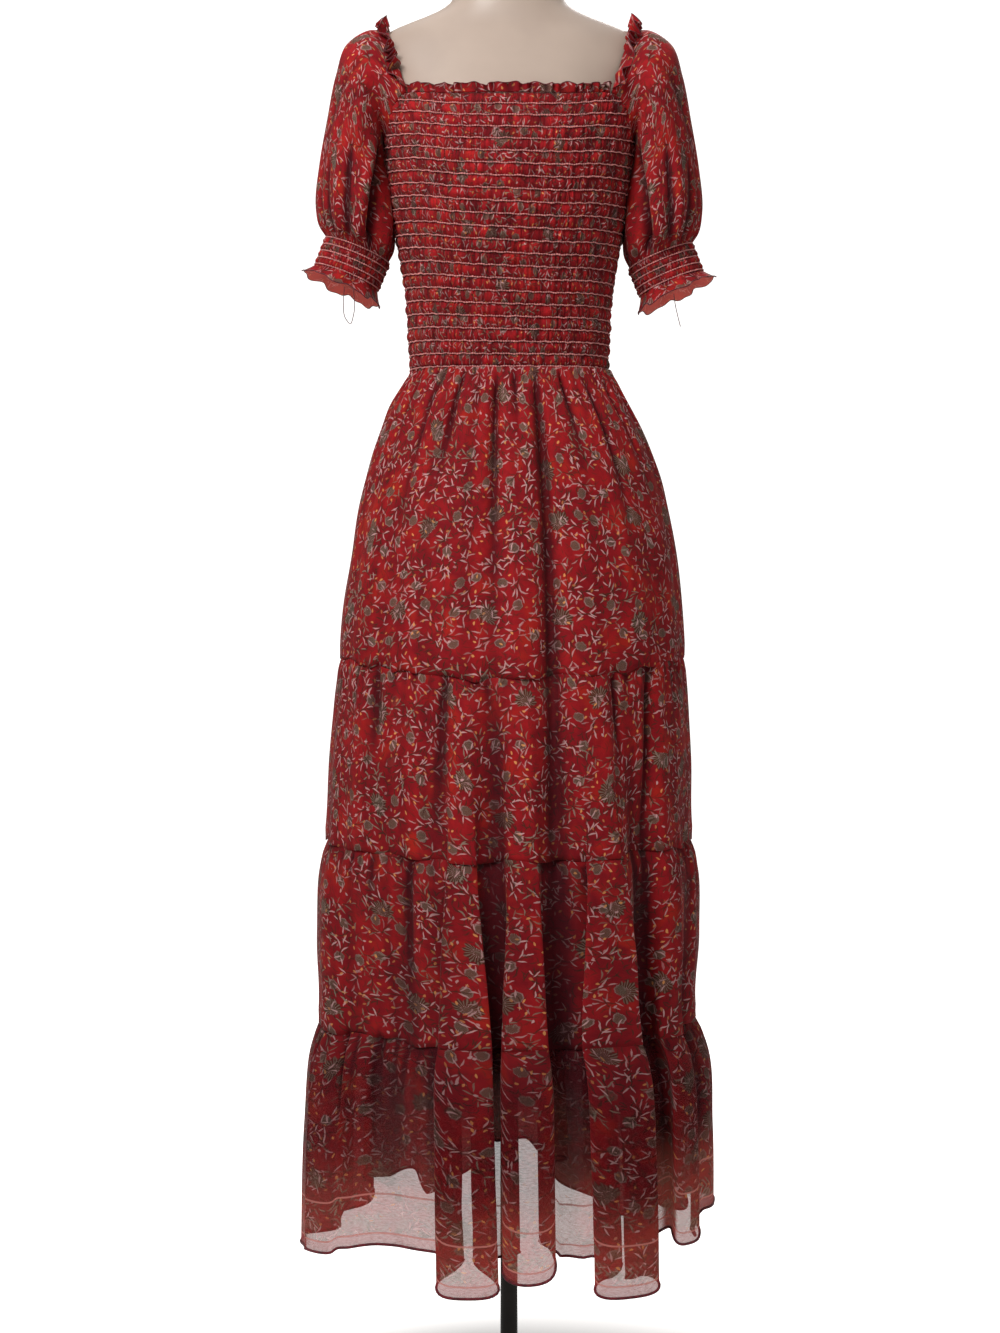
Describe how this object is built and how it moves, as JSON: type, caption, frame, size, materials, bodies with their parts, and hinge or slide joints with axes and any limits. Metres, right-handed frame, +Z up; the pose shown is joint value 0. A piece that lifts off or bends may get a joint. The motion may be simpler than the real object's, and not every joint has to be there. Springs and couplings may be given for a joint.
{
  "type": "maxi dress on dress form",
  "caption": "Tiered maxi dress with a shirred bodice, square ruffled neck and short puff sleeves, standing on a limbless dress form with a pole and round base.",
  "frame": {"origin": "middle of the stand's underside, on the floor", "axes": "+Z up along the pole, the dress faces -Y, +X is the wearer's left"},
  "size_m": [0.4808, 0.4835, 1.7003],
  "materials": {
    "red_floral_chiffon": "matt, thin, printed with a small flower pattern",
    "cream_form": "gloss",
    "black_stand": "satin black"
  },
  "bodies": {
    "root": {"bodice_front": "red_floral_chiffon", "bodice_back": "red_floral_chiffon", "neck_ruffle_front": "red_floral_chiffon", "neck_ruffle_back": "red_floral_chiffon", "neck_ruffle_left": "red_floral_chiffon", "neck_ruffle_right": "red_floral_chiffon", "sleeve_left": "red_floral_chiffon", "sleeve_right": "red_floral_chiffon", "cuff_left": "red_floral_chiffon", "cuff_right": "red_floral_chiffon", "cuff_ruffle_left": "red_floral_chiffon", "cuff_ruffle_right": "red_floral_chiffon", "skirt_tier_1_front": "red_floral_chiffon", "skirt_tier_1_back": "red_floral_chiffon", "skirt_tier_2_front": "red_floral_chiffon", "skirt_tier_2_back": "red_floral_chiffon", "skirt_tier_3_front": "red_floral_chiffon", "skirt_tier_3_back": "red_floral_chiffon", "skirt_tier_4_front": "red_floral_chiffon", "skirt_tier_4_back": "red_floral_chiffon", "form_body": "cream_form", "form_neck_cap": "cream_form", "stand_pole": "black_stand", "stand_base": "black_stand"}
  },
  "joints": []
}
